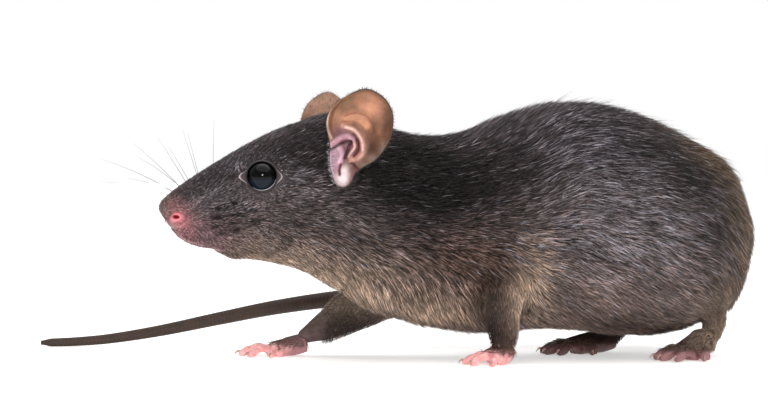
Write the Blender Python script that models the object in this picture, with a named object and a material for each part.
"""Roof rat, life size, walking, as a still museum model.

The head points along -X, +Y is the animal's right side and Z = 0 is the floor. Sizes are in
millimetres and become metres as each mesh is made. The flesh solids reach out to the tips of
the short coat, so their outline is the outline of the living animal.
"""

import math

import bmesh
import bpy
import numpy as np
from mathutils import Matrix, Vector
from mathutils.bvhtree import BVHTree

MM = 0.001
GAP = 0.3  # clear space between nodes that meet face to face
# Moves everything so that the origin is on the floor under the middle of the whole box.
ORIGIN_SHIFT = Vector((-2.0, -13.2, 0.0))

# Head and trunk, as rings from nose to rump: the ring's top point and bottom point in side
# view, its half width, and how far up it is widest.
# top_x, top_z, bottom_x, bottom_z, half_width, widest
BODY_RINGS = (
    (-62.6, 40.8, -62.4, 39.4, 1.0, 0.50),
    (-61.8, 42.0, -60.9, 37.0, 3.3, 0.50),
    (-58.9, 44.6, -57.0, 32.2, 5.2, 0.46),
    (-53.2, 48.4, -51.2, 29.5, 6.9, 0.42),
    (-45.5, 53.0, -43.6, 27.3, 8.7, 0.45),
    (-36.5, 57.9, -35.0, 25.9, 10.9, 0.50),
    (-27.0, 61.9, -26.0, 23.6, 12.8, 0.52),
    (-17.0, 64.4, -19.0, 19.8, 13.6, 0.50),
    (-6.0, 61.8, -12.0, 15.4, 14.2, 0.47),
    (5.0, 59.2, -4.0, 11.4, 15.6, 0.45),
    (16.5, 59.4, 7.5, 8.4, 17.6, 0.44),
    (27.5, 63.0, 23.5, 7.2, 20.4, 0.44),
    (40.0, 66.8, 40.0, 7.4, 23.2, 0.43),
    (53.0, 67.2, 55.0, 5.9, 25.4, 0.42),
    (66.0, 63.6, 67.0, 5.4, 25.8, 0.41),
    (78.0, 58.0, 79.0, 7.4, 23.4, 0.41),
    (86.6, 52.4, 87.8, 11.0, 18.0, 0.43),
    (91.8, 43.2, 91.4, 20.4, 11.0, 0.46),
    (94.2, 34.6, 94.1, 29.4, 2.4, 0.50),
)
HEAD_RING_POINTS = 40
TRUNK_RING_POINTS = 36
HEAD_STEPS = 3
TRUNK_STEPS = 3
SQUARENESS = 0.94  # under 1 fills a ring out a little at its four shoulders

# The neck turns the head to the animal's left, along an arc between these places.
HEAD_YAW = math.radians(10.0)
TURN_START_X = 12.0
TURN_LENGTH = 30.0

# Planes that part the flesh: where each crosses the spine's height, and its lean.
HEAD_CUT = (-13.5, 42.0, math.radians(12.0))
NECK_CUT = (6.0, 38.0, math.radians(14.0))
RUMP_CUT = (54.0, 38.0, 0.0)

# Head features on the left side, before the neck turns. The right side mirrors them.
EYE_CENTRE = (-38.0, -8.4, 47.9)
EYE_RADIUS = 3.2
LID_RADIUS = 0.8
LID_REACH = 3.7  # from the eye's middle to the middle of the lid's rim
LID_HEIGHT = 0.9  # how far the rim stands out from the eye's middle
LID_TURNS = 20
LID_SIDES = 6
LIP_LINE = ((-54.5, 0.0, 30.0), (-52.5, -3.2, 29.8), (-47.5, -5.6, 29.9), (-40.5, -7.4, 31.6))
LIP_GROOVE = 0.55
NOSE_PAD = (-58.6, -2.5, 37.6)
NOSE_PAD_SIZE = (2.0, 1.9, 2.3)
NOSTRIL = (-59.3, -4.2, 38.0)
NOSTRIL_SIZE = (0.9, 1.0, 0.65)

# Ear: an oval dish with a stem that runs down its front edge to the ear canal.
EAR_CENTRE = (-15.2, -18.8, 59.8)
RIGHT_EAR_BACK = 1.6  # the right ear is held a little further back
EAR_HALF_WIDTH = 8.7
EAR_HALF_HEIGHT = 10.4
EAR_STEM_LENGTH = 5.4
EAR_STEM_ANGLE = math.radians(-106.0)
EAR_STEM_SPREAD = 0.25
EAR_CUP = 4.2
EAR_THICKNESS = 0.75
EAR_FACING = math.radians(22.0)  # turned forward from straight out
EAR_LEAN = math.radians(12.0)  # top leans out
EAR_TILT = math.radians(-6.0)  # top leans back
EAR_RINGS = 6
EAR_POINTS = 30
# Folds inside the dish: start angle, end angle, radius share, height
EAR_FOLDS = ((-1.9, 1.2, 0.42, 1.0), (2.2, 3.9, 0.5, 0.8))
CANAL_OFFSET = (-3.4, -7.2)
CANAL_RADIUS = 1.3

# Legs: X, Y from the midline, Z, half thickness along the body, half thickness across it.
FORELEG_LEFT = (
    (25.0, -11.0, 29.0, 7.6, 5.0),
    (26.0, -14.6, 20.0, 6.2, 4.4),
    (25.4, -16.8, 12.5, 4.9, 3.7),
    (25.4, -17.8, 6.2, 4.1, 3.1),
    (24.8, -18.2, 3.4, 3.7, 2.8),
)
FORELEG_RIGHT = (
    (9.0, 7.5, 21.6, 8.6, 5.4),
    (-2.0, 10.6, 16.2, 8.0, 4.9),
    (-10.2, 12.4, 11.7, 6.7, 4.3),
    (-17.0, 13.6, 7.8, 4.9, 3.7),
    (-23.4, 14.4, 4.7, 3.4, 3.0),
)
HINDLEG_LEFT = (
    (71.0, -9.0, 22.0, 10.0, 6.6),
    (78.0, -9.0, 17.5, 7.6, 5.4),
    (82.8, -7.6, 12.4, 4.6, 3.9),
    (83.4, -7.2, 8.0, 3.5, 3.2),
    (81.6, -8.3, 5.0, 3.0, 3.1),
    (79.4, -9.7, 3.5, 2.7, 3.6),
)
HINDLEG_RIGHT = (
    (54.0, 9.5, 19.0, 8.6, 6.0),
    (58.6, 12.0, 11.6, 5.6, 4.6),
    (62.0, 14.0, 7.8, 4.2, 3.6),
    (60.6, 13.9, 4.9, 3.7, 3.3),
    (57.4, 13.0, 3.5, 2.8, 3.5),
)
LEG_POINTS = 16
LEG_STEPS = 3

# Feet: the sole from wrist or heel to the ball, as X, Y, Z, half width, half height.
FOREPAW_LEFT = (
    (27.2, -16.4, 3.4, 3.2, 3.0),
    (24.8, -17.4, 2.4, 3.8, 2.3),
    (22.6, -18.6, 1.9, 3.8, 1.9),
)
FOREPAW_RIGHT = (
    (-21.8, 14.6, 3.5, 3.1, 3.1),
    (-26.6, 14.8, 2.4, 3.5, 2.3),
    (-31.0, 14.4, 1.8, 3.8, 1.8),
)
HINDFOOT_LEFT = (
    (82.4, -7.8, 5.8, 3.0, 3.1),
    (80.6, -9.0, 4.7, 3.4, 3.5),
    (78.2, -10.6, 3.5, 3.8, 3.2),
    (75.6, -12.2, 2.4, 4.2, 2.4),
)
HINDFOOT_RIGHT = (
    (61.6, 14.2, 3.6, 3.1, 3.4),
    (58.6, 13.4, 3.2, 3.3, 3.0),
    (54.0, 11.8, 2.7, 3.8, 2.6),
    (50.4, 10.5, 2.2, 4.1, 2.2),
)
# Digits: turn from the foot's direction in degrees, length, radius, start along the ball.
FORE_DIGITS = (
    (-62.0, 4.6, 0.95, -0.6),
    (-24.0, 6.6, 1.0, 0.8),
    (4.0, 7.2, 1.05, 1.2),
    (34.0, 6.2, 0.95, 0.7),
)
HIND_DIGITS = (
    (-66.0, 5.2, 1.1, -2.4),
    (-22.0, 8.0, 1.2, 0.6),
    (-4.0, 8.8, 1.25, 1.0),
    (14.0, 8.2, 1.2, 0.7),
    (48.0, 5.0, 1.05, -1.6),
)
DIGIT_POINTS = 7
DIGIT_ARCH = 1.5
# Along a digit and along its claw: share of the length, rise, share of the radius
DIGIT_PROFILE = (
    (-0.25, 0.2, 1.0),
    (0.0, 0.75, 1.05),
    (0.4, 1.0, 1.0),
    (0.85, 0.15, 1.0),
    (1.02, -0.05, 0.66),
)
CLAW_PROFILE = ((-0.35, 0.25, 1.0), (0.35, 0.45, 0.85), (1.0, -0.35, 0.3))
CLAW_LENGTH = 1.9
CLAW_RADIUS = 0.45
SOLE_POINTS = 12
PAD_RADIUS = 1.25

# Tail: X, Y from the midline, Z at points along its middle, from the root to the tip.
TAIL_PATH = (
    (82.0, 1.0, 26.0),
    (88.6, 4.0, 23.6),
    (91.6, 12.0, 21.4),
    (89.0, 23.0, 19.4),
    (80.0, 31.6, 18.0),
    (64.0, 36.4, 16.8),
    (40.0, 39.2, 15.8),
    (12.0, 41.0, 14.4),
    (-8.0, 42.6, 13.5),
    (-26.0, 44.8, 11.1),
    (-42.0, 47.6, 7.9),
    (-58.0, 50.4, 4.5),
    (-72.0, 52.6, 2.2),
    (-82.0, 53.8, 1.35),
    (-91.4, 54.4, 1.1),
)
TAIL_ROOT_RADIUS = 4.1
TAIL_TIP_RADIUS = 1.1
TAIL_POINTS = 10
TAIL_RINGS = 44
TAIL_NODES = 4
FLOOR_TRIM = 0.12  # how much of a round sole is cut to a flat

FUR = ("dark_fur", (0.045, 0.036, 0.034), 0.7)
PINK_SKIN = ("pink_skin", (0.62, 0.30, 0.28), 0.5)
EAR_SKIN = ("ear_skin", (0.40, 0.21, 0.14), 0.55)
TAIL_SKIN = ("tail_skin", (0.07, 0.045, 0.038), 0.6)
WET_EYE = ("wet_eye", (0.004, 0.004, 0.005), 0.05)


def clear_scene():
    for item in list(bpy.data.objects):
        bpy.data.objects.remove(item, do_unlink=True)


def material(kind):
    """A Principled material with the part's own colour and roughness."""
    name, colour, roughness = kind
    made = bpy.data.materials.get(name)
    if made:
        return made
    made = bpy.data.materials.new(name)
    made.use_nodes = True
    shader = made.node_tree.nodes["Principled BSDF"]
    shader.inputs["Base Color"].default_value = (*colour, 1.0)
    shader.inputs["Roughness"].default_value = roughness
    shader.inputs["Metallic"].default_value = 0.0
    return made


def spread(table, steps):
    """Rows between the rows of a table, on a Catmull-Rom curve through them."""
    rows = np.array(table, float)
    count = len(rows)
    where = np.linspace(0.0, count - 1.0, (count - 1) * steps + 1)
    first = np.clip(np.floor(where).astype(int), 0, count - 2)
    part = (where - first)[:, None]
    before = rows[np.clip(first - 1, 0, count - 1)]
    start = rows[first]
    end = rows[first + 1]
    after = rows[np.clip(first + 2, 0, count - 1)]
    return 0.5 * (
        2 * start
        + (end - before) * part
        + (2 * before - 5 * start + 4 * end - after) * part**2
        + (3 * start - before - 3 * end + after) * part**3
    )


def turned(point):
    """Where a point of the straight animal goes once the neck has turned the head."""
    ahead = TURN_START_X - point.x
    if ahead <= 0:
        return point.copy()
    radius = TURN_LENGTH / HEAD_YAW
    angle = min(ahead / TURN_LENGTH, 1.0) * HEAD_YAW
    past = max(ahead - TURN_LENGTH, 0.0)
    x = TURN_START_X - radius * math.sin(angle) - past * math.cos(angle)
    y = -radius * (1 - math.cos(angle)) - past * math.sin(angle)
    return Vector((x - point.y * math.sin(angle), y + point.y * math.cos(angle), point.z))


def signed_power(value, power):
    return math.copysign(abs(value) ** power, value)


def body_ring(row, points, grow=0.0):
    """One closed ring of the body: an egg shape between its top point and bottom point."""
    top = Vector((row[0], 0.0, row[1]))
    bottom = Vector((row[2], 0.0, row[3]))
    rise = (top - bottom).normalized()
    top += rise * grow
    bottom -= rise * grow
    middle = bottom.lerp(top, row[5])
    ring = []
    for i in range(points):
        angle = 2 * math.pi * i / points
        up = signed_power(math.cos(angle), SQUARENESS)
        side = signed_power(math.sin(angle), SQUARENESS)
        end = top if up > 0 else bottom
        point = middle + (end - middle) * abs(up)
        point.y = side * (row[4] + grow)
        ring.append(turned(point))
    return ring


def new_object(name, mesh_data, kind):
    """Puts a bmesh, in millimetres from the midline, in the scene in metres."""
    bmesh.ops.translate(mesh_data, vec=ORIGIN_SHIFT, verts=mesh_data.verts)
    bmesh.ops.scale(mesh_data, vec=(MM, MM, MM), verts=mesh_data.verts)
    bmesh.ops.triangulate(mesh_data, faces=mesh_data.faces)
    bmesh.ops.recalc_face_normals(mesh_data, faces=mesh_data.faces)
    mesh = bpy.data.meshes.new(name)
    mesh_data.to_mesh(mesh)
    mesh_data.free()
    mesh.materials.append(material(kind))
    mesh.shade_smooth()
    made = bpy.data.objects.new(name, mesh)
    bpy.context.scene.collection.objects.link(made)
    return made


def loft(rings):
    """A closed skin through rings of equal count, with a flat cap at each end."""
    made = bmesh.new()
    rows = [[made.verts.new(point) for point in ring] for ring in rings]
    count = len(rings[0])
    for before, after in zip(rows, rows[1:]):
        for i in range(count):
            j = (i + 1) % count
            made.faces.new((before[i], before[j], after[j], after[i]))
    made.faces.new(rows[0])
    made.faces.new(list(reversed(rows[-1])))
    bmesh.ops.recalc_face_normals(made, faces=made.faces)
    return made


def tube_rings(rows, points, up=Vector((0, 0, 1))):
    """Rings across a path. Each row is X, Y, Z, half size along 'up' turned square to the
    path, and half size across it."""
    centres = [Vector(row[:3]) for row in rows]
    rings = []
    for i, row in enumerate(rows):
        ahead = centres[min(i + 1, len(rows) - 1)] - centres[max(i - 1, 0)]
        ahead.normalize()
        across = ahead.cross(up).normalized()
        rise = across.cross(ahead)
        ring = []
        for k in range(points):
            angle = 2 * math.pi * k / points
            ring.append(centres[i] + rise * row[3] * math.cos(angle) + across * row[4] * math.sin(angle))
        rings.append(ring)
    return rings


def ball(centre, size, turn=None, segments=16, rings=10):
    """A closed ellipsoid."""
    made = bmesh.new()
    bmesh.ops.create_uvsphere(made, u_segments=segments, v_segments=rings, radius=1.0)
    place = Matrix.Translation(centre) @ (turn or Matrix.Identity(4)) @ Matrix.Diagonal((*size, 1.0))
    bmesh.ops.transform(made, matrix=place, verts=made.verts)
    return made


def combine(base, others, operation):
    """Applies one Boolean of a collection of closed helper objects, then removes them."""
    group = bpy.data.collections.new("helpers")
    bpy.context.scene.collection.children.link(group)
    for other in others:
        bpy.context.scene.collection.objects.unlink(other)
        group.objects.link(other)
    step = base.modifiers.new("combine", "BOOLEAN")
    step.operation = operation
    step.operand_type = "COLLECTION"
    step.collection = group
    step.solver = "EXACT"
    bpy.context.view_layer.update()
    seen = base.evaluated_get(bpy.context.evaluated_depsgraph_get())
    mesh = bpy.data.meshes.new_from_object(seen)
    base.modifiers.clear()
    base.data = mesh
    for other in others:
        bpy.data.objects.remove(other, do_unlink=True)
    bpy.data.collections.remove(group)
    mesh.shade_smooth()
    return base


def keep_largest(item):
    """Leaves only the object's largest closed surface."""
    made = bmesh.new()
    made.from_mesh(item.data)
    left = set(made.verts)
    groups = []
    while left:
        stack = [left.pop()]
        group = set(stack)
        while stack:
            for edge in stack.pop().link_edges:
                for vert in edge.verts:
                    if vert in left:
                        left.discard(vert)
                        group.add(vert)
                        stack.append(vert)
        groups.append(group)
    groups.sort(key=len)
    loose = [vert for group in groups[:-1] for vert in group]
    bmesh.ops.delete(made, geom=loose, context="VERTS")
    made.to_mesh(item.data)
    made.free()
    return item


def slice_off(made, point, normal):
    """Cuts a closed bmesh on a plane, drops what lies on the normal's side and caps it."""
    geometry = list(made.verts) + list(made.edges) + list(made.faces)
    bmesh.ops.bisect_plane(made, geom=geometry, plane_co=point, plane_no=normal, clear_outer=True)
    rim = [edge for edge in made.edges if edge.is_boundary]
    if rim:
        bmesh.ops.holes_fill(made, edges=rim)
    return made


def cut_plane(cut):
    """A parting plane's point and rearward normal, turned with the neck."""
    x, z, lean = cut
    here = turned(Vector((x, 0.0, z)))
    side = turned(Vector((x, 1.0, z))) - here
    ahead = side.cross(Vector((0, 0, 1))).normalized()
    normal = ahead * math.cos(lean) - Vector((0, 0, 1)) * math.sin(lean)
    return here, normal


def body_skin(points, steps, grow=0.0):
    """The whole head and trunk as one closed loft."""
    return loft([body_ring(row, points, grow) for row in spread(BODY_RINGS, steps)])


def part_body(name, points, steps, front_cut, rear_cut):
    """The stretch of the body between two parting planes, half a gap short of each."""
    made = body_skin(points, steps)
    if rear_cut:
        point, normal = cut_plane(rear_cut)
        slice_off(made, point - normal * GAP / 2, normal)
    if front_cut:
        point, normal = cut_plane(front_cut)
        slice_off(made, point + normal * GAP / 2, -normal)
    return new_object(name, made, FUR)


def both_sides(point):
    """A head feature's place on the left and on the right, with the neck turned."""
    x, y, z = point
    return turned(Vector((x, y, z))), turned(Vector((x, -y, z)))


def head_turn():
    return Matrix.Rotation(HEAD_YAW, 4, "Z")


def on_surface(tree, point, outward=0.0):
    """The nearest place on the body's surface, moved outward along its normal."""
    place, normal, _, _ = tree.find_nearest(point)
    return place + normal * outward


def lip_groove(tree):
    """A thin tube along the line of the mouth, half sunk in the surface, to be cut away."""
    left = spread(LIP_LINE, 3)[::-1]
    right = left[::-1][1:] * np.array((1.0, -1.0, 1.0))
    rows = []
    for place in np.vstack((left, right)):
        point = on_surface(tree, turned(Vector(place)))
        rows.append((*point, LIP_GROOVE, LIP_GROOVE))
    return loft(tube_rings(rows, 5))


def lid_ring(centre, outward):
    """The rim of the two lids: a ring round the eye, pointed a little at its corners."""
    made = bmesh.new()
    turns = LID_TURNS
    sides = LID_SIDES
    frame = outward.to_track_quat("Z", "Y").to_matrix()
    rows = []
    for i in range(turns):
        angle = 2 * math.pi * i / turns
        corner = 1.0 + 0.13 * abs(math.cos(angle)) ** 6
        reach = LID_REACH * corner
        row = []
        for k in range(sides):
            small = 2 * math.pi * k / sides
            radius = reach + LID_RADIUS * math.cos(small)
            height = LID_HEIGHT + LID_RADIUS * math.sin(small)
            local = Vector((radius * math.cos(angle), radius * math.sin(angle), height))
            row.append(made.verts.new(centre + frame @ local))
        rows.append(row)
    for i, row in enumerate(rows):
        after = rows[(i + 1) % turns]
        for k in range(sides):
            j = (k + 1) % sides
            made.faces.new((row[k], after[k], after[j], row[j]))
    bmesh.ops.recalc_face_normals(made, faces=made.faces)
    return made


def build_head():
    """Muzzle, cheeks and skull, with nose pad, nostrils, the line of the lips and the lids."""
    head = part_body("head", HEAD_RING_POINTS, HEAD_STEPS, None, HEAD_CUT)
    skin = body_skin(HEAD_RING_POINTS, HEAD_STEPS)
    tree = BVHTree.FromBMesh(skin)
    skin.free()
    added = []
    for spot in both_sides(NOSE_PAD):
        added.append(new_object("nose_pad", ball(spot, NOSE_PAD_SIZE, head_turn(), 12, 8), FUR))
    eyes = both_sides(EYE_CENTRE)
    for spot in eyes:
        outward = eye_outward(spot)
        added.append(new_object("lids", lid_ring(spot, outward), FUR))
    combine(head, added, "UNION")
    removed = [new_object("lip_cut", lip_groove(tree), FUR)]
    for spot in both_sides(NOSTRIL):
        removed.append(new_object("nostril_cut", ball(spot, NOSTRIL_SIZE, head_turn(), 10, 6), FUR))
    for spot in eyes:
        size = (EYE_RADIUS + GAP,) * 3
        removed.append(new_object("socket_cut", ball(spot, size, None, 16, 10), FUR))
    combine(head, removed, "DIFFERENCE")
    return keep_largest(head)


def eye_outward(spot):
    """Which way an eye looks: out to its side, a little forward and up."""
    side = -1.0 if spot.y < turned(Vector((spot.x, 0.0, 0.0))).y else 1.0
    straight = Vector((-0.30, side, 0.16)).normalized()
    return head_turn() @ straight


def build_eyes():
    for name, spot in zip(("eye_left", "eye_right"), both_sides(EYE_CENTRE)):
        made = ball(spot, (EYE_RADIUS,) * 3, None, 16, 10)
        new_object(name, made, WET_EYE)


def ear_reach(angle):
    """Distance from the dish's middle to its rim: an oval with the stem as a lobe."""
    oval = 1.0 / math.hypot(math.cos(angle) / EAR_HALF_WIDTH, math.sin(angle) / EAR_HALF_HEIGHT)
    away = math.remainder(angle - EAR_STEM_ANGLE, 2 * math.pi)
    return oval + EAR_STEM_LENGTH * math.exp(-((away / EAR_STEM_SPREAD) ** 2))


def ear_height(share, angle):
    """Height of the dish's face over its rim plane: a cup with two folds in it."""
    height = -EAR_CUP * (1 - share**2)
    for start, end, radius, rise in EAR_FOLDS:
        middle = (start + end) / 2
        half = (end - start) / 2
        away = math.remainder(angle - middle, 2 * math.pi) / half
        along = max(0.0, 1 - away**2)
        height += rise * along * math.exp(-(((share - radius) / 0.13) ** 2))
    return height


def ear_skin():
    """A left ear in its own frame: back along +X, up along +Y, out along +Z."""
    made = bmesh.new()
    faces = {}
    for layer, sink in (("front", 0.0), ("back", EAR_THICKNESS)):
        middle = made.verts.new((0.0, 0.0, ear_height(0.0, 0.0) - sink))
        rows = []
        for i in range(1, EAR_RINGS + 1):
            share = i / EAR_RINGS
            thin = sink * (1.0 if i < EAR_RINGS else 0.85)
            row = []
            for k in range(EAR_POINTS):
                angle = 2 * math.pi * k / EAR_POINTS
                reach = ear_reach(angle) * share
                height = ear_height(share, angle) - thin
                row.append(made.verts.new((reach * math.cos(angle), reach * math.sin(angle), height)))
            rows.append(row)
        faces[layer] = (middle, rows)
    for layer, (middle, rows) in faces.items():
        for k in range(EAR_POINTS):
            j = (k + 1) % EAR_POINTS
            corner = (middle, rows[0][k], rows[0][j])
            made.faces.new(corner if layer == "front" else corner[::-1])
            for inner, outer in zip(rows, rows[1:]):
                for three in ((inner[k], outer[k], outer[j]), (inner[k], outer[j], inner[j])):
                    made.faces.new(three if layer == "front" else three[::-1])
    front_rim = faces["front"][1][-1]
    back_rim = faces["back"][1][-1]
    for k in range(EAR_POINTS):
        j = (k + 1) % EAR_POINTS
        made.faces.new((front_rim[k], back_rim[k], back_rim[j], front_rim[j]))
    bmesh.ops.recalc_face_normals(made, faces=made.faces)
    return made


def ear_place(side):
    """The turn and place of an ear: side is -1 for the left ear and 1 for the right."""
    out = Vector((-math.sin(EAR_FACING), side * math.cos(EAR_FACING), 0.0))
    up = Vector((0.0, 0.0, 1.0))
    up = (up * math.cos(EAR_LEAN) + Vector((0, side, 0)) * math.sin(EAR_LEAN)).normalized()
    up = (up + Vector((-math.sin(EAR_TILT), 0, 0))).normalized()
    out = (out - up * out.dot(up)).normalized()
    back = up.cross(out) * (1.0 if side < 0 else -1.0)
    turn = head_turn().to_3x3() @ Matrix((back, up, out)).transposed()
    back_by = RIGHT_EAR_BACK if side > 0 else 0.0
    centre = turned(Vector((EAR_CENTRE[0] + back_by, -side * EAR_CENTRE[1], EAR_CENTRE[2])))
    return Matrix.Translation(centre) @ turn.to_4x4()


def ear_root(side):
    """The funnel under the dish that joins it to the head."""
    place = ear_place(side)
    foot = turned(Vector((EAR_CENTRE[0] - 1.0, -side * EAR_CENTRE[1] * 0.45, EAR_CENTRE[2] - 8.5)))
    mouth = place @ Vector((-2.2, -4.6, -EAR_CUP * 0.86))
    rows = [(*foot.lerp(mouth, t), 5.2 - 0.9 * t, 3.0 - 1.7 * t) for t in (0.0, 0.5, 1.0)]
    return loft(tube_rings(rows, 14, Vector((1, 0, 0))))


def build_ears():
    for name, side in (("ear_left", -1.0), ("ear_right", 1.0)):
        made = ear_skin()
        bmesh.ops.transform(made, matrix=ear_place(side), verts=made.verts)
        bmesh.ops.recalc_face_normals(made, faces=made.faces)
        ear = new_object(name, made, EAR_SKIN)
        combine(ear, [new_object("root", ear_root(side), EAR_SKIN)], "UNION")
        canal_at = ear_place(side) @ Vector((*CANAL_OFFSET, -EAR_CUP * 0.5))
        canal = new_object("canal", ball(canal_at, (CANAL_RADIUS,) * 3, None, 10, 8), EAR_SKIN)
        flesh = new_object("flesh", body_skin(HEAD_RING_POINTS, HEAD_STEPS, GAP), EAR_SKIN)
        combine(ear, [canal, flesh], "DIFFERENCE")
        keep_largest(ear)


def build_leg(name, table, foot_cut):
    """A leg's flesh from the trunk's surface down to a parting plane at its foot."""
    made = loft(tube_rings(spread(table, LEG_STEPS), LEG_POINTS, Vector((1, 0, 0.2))))
    if foot_cut:
        point, normal = foot_cut
        slice_off(made, point - normal * GAP / 2, normal)
    leg = new_object(name, made, FUR)
    flesh = new_object("flesh", body_skin(TRUNK_RING_POINTS, TRUNK_STEPS, GAP), FUR)
    combine(leg, [flesh], "DIFFERENCE")
    return keep_largest(leg)


def digit(start, heading, length, radius):
    """One digit: an arched tube that comes down on its pad, and a short curved claw."""
    side = Vector((0, 0, 1))
    rows = []
    for share, rise, size in DIGIT_PROFILE:
        place = start + heading * length * share
        place.z = radius * 0.92 + DIGIT_ARCH * max(rise, 0.0)
        rows.append((*place, radius * size, radius * size))
    toe = loft(tube_rings(rows, DIGIT_POINTS, side))
    tip = start + heading * length
    claw_rows = []
    for share, height, size in CLAW_PROFILE:
        place = tip + heading * CLAW_LENGTH * share
        place.z = radius + height * radius
        claw_rows.append((*place, CLAW_RADIUS * size, CLAW_RADIUS * size * 0.8))
    claw = loft(tube_rings(claw_rows, 6, side))
    return toe, claw


def build_foot(name, sole, digits, mirror):
    """A foot: sole, digits and claws as one solid, standing on a small flat at the floor."""
    rows = [(x, y, z, height, width) for x, y, z, width, height in spread(sole, 2)]
    made = loft(tube_rings(rows, SOLE_POINTS, Vector((0.25, 0, 1))))
    foot = new_object(name, made, PINK_SKIN)
    ball_of_foot = Vector(sole[-1][:3])
    ahead = (ball_of_foot - Vector(sole[-2][:3]))
    ahead.z = 0.0
    ahead.normalize()
    across = Vector((-ahead.y, ahead.x, 0.0)) * mirror
    added = []
    spacing = 2 * sole[-1][3] * 0.8 / (len(digits) - 1)
    for i, (turn, length, radius, start) in enumerate(digits):
        heading = ahead * math.cos(math.radians(turn)) + across * math.sin(math.radians(turn))
        offset = (i - (len(digits) - 1) / 2) * spacing
        root = ball_of_foot + across * offset + ahead * start
        for k, piece in enumerate(digit(root, heading, length, radius)):
            added.append(new_object(f"digit_{i}_{k}", piece, PINK_SKIN))
        pad_at = root - ahead * 1.2
        pad_at.z = PAD_RADIUS * 0.85
        added.append(new_object("pad", ball(pad_at, (PAD_RADIUS,) * 3, None, 7, 5), PINK_SKIN))
    combine(foot, added, "UNION")
    trimmed = bmesh.new()
    trimmed.from_mesh(foot.data)
    slice_off(trimmed, Vector((0, 0, FLOOR_TRIM * MM)), Vector((0, 0, -1)))
    bmesh.ops.translate(trimmed, vec=(0, 0, -FLOOR_TRIM * MM), verts=trimmed.verts)
    bmesh.ops.triangulate(trimmed, faces=trimmed.faces)
    bmesh.ops.recalc_face_normals(trimmed, faces=trimmed.faces)
    trimmed.to_mesh(foot.data)
    trimmed.free()
    flesh = new_object("flesh", body_skin(TRUNK_RING_POINTS, TRUNK_STEPS, GAP), FUR)
    combine(foot, [flesh], "DIFFERENCE")
    return keep_largest(foot)


def part_foot_from_leg(foot, plane):
    """Trims a foot's top on the plane where the leg ends, half a gap short of it."""
    point, normal = plane
    made = bmesh.new()
    made.from_mesh(foot.data)
    place = (point + ORIGIN_SHIFT + normal * GAP / 2) * MM
    slice_off(made, place, -normal)
    bmesh.ops.triangulate(made, faces=made.faces)
    bmesh.ops.recalc_face_normals(made, faces=made.faces)
    made.to_mesh(foot.data)
    made.free()
    return keep_largest(foot)


def limb_plane(table):
    """The parting plane square to a leg near its lower end."""
    rows = spread(table, LEG_STEPS)
    last = Vector(rows[-2][:3])
    ahead = (Vector(rows[-1][:3]) - Vector(rows[-3][:3])).normalized()
    return last, ahead


def build_limb(side_name, leg_kind, foot_kind, leg_table, sole, digits, mirror):
    plane = limb_plane(leg_table)
    build_leg(f"{leg_kind}_{side_name}", leg_table, plane)
    foot = build_foot(f"{foot_kind}_{side_name}", sole, digits, mirror)
    part_foot_from_leg(foot, plane)


def tail_radius(share):
    return TAIL_TIP_RADIUS + (TAIL_ROOT_RADIUS - TAIL_TIP_RADIUS) * (1 - share)


def build_tail():
    """The tail in a few lengths, parted square to its path, its end lying on the floor."""
    path = spread(TAIL_PATH, 12)
    steps = np.linalg.norm(np.diff(path, axis=0), axis=1)
    along = np.concatenate(((0.0,), np.cumsum(steps)))
    total = along[-1]
    for n in range(TAIL_NODES):
        start = total * n / TAIL_NODES + (GAP / 2 if n else 0.0)
        end = total * (n + 1) / TAIL_NODES - (GAP / 2 if n < TAIL_NODES - 1 else 0.0)
        count = max(4, TAIL_RINGS // TAIL_NODES)
        rows = []
        for here in np.linspace(start, end, count + 1):
            x, y, z = (np.interp(here, along, path[:, axis]) for axis in range(3))
            radius = tail_radius(here / total)
            rows.append((x, y, z, radius, radius))
        if n == TAIL_NODES - 1:
            rows[-1] = (*rows[-1][:3], TAIL_TIP_RADIUS * 0.55, TAIL_TIP_RADIUS * 0.55)
        made = loft(tube_rings(rows, TAIL_POINTS))
        slice_off(made, Vector((0, 0, 0)), Vector((0, 0, -1)))
        tail = new_object(f"tail_{n + 1}", made, TAIL_SKIN)
        if n == 0:
            flesh = new_object("flesh", body_skin(TRUNK_RING_POINTS, TRUNK_STEPS, GAP), FUR)
            combine(tail, [flesh], "DIFFERENCE")
            keep_largest(tail)


def main():
    clear_scene()
    build_head()
    part_body("neck", TRUNK_RING_POINTS, TRUNK_STEPS, HEAD_CUT, NECK_CUT)
    part_body("torso", TRUNK_RING_POINTS, TRUNK_STEPS, NECK_CUT, RUMP_CUT)
    part_body("rump", TRUNK_RING_POINTS, TRUNK_STEPS, RUMP_CUT, None)
    build_eyes()
    build_ears()
    build_limb("left", "foreleg", "forepaw", FORELEG_LEFT, FOREPAW_LEFT, FORE_DIGITS, 1.0)
    build_limb("right", "foreleg", "forepaw", FORELEG_RIGHT, FOREPAW_RIGHT, FORE_DIGITS, -1.0)
    build_limb("left", "hindleg", "hindfoot", HINDLEG_LEFT, HINDFOOT_LEFT, HIND_DIGITS, 1.0)
    build_limb("right", "hindleg", "hindfoot", HINDLEG_RIGHT, HINDFOOT_RIGHT, HIND_DIGITS, -1.0)
    build_tail()


main()
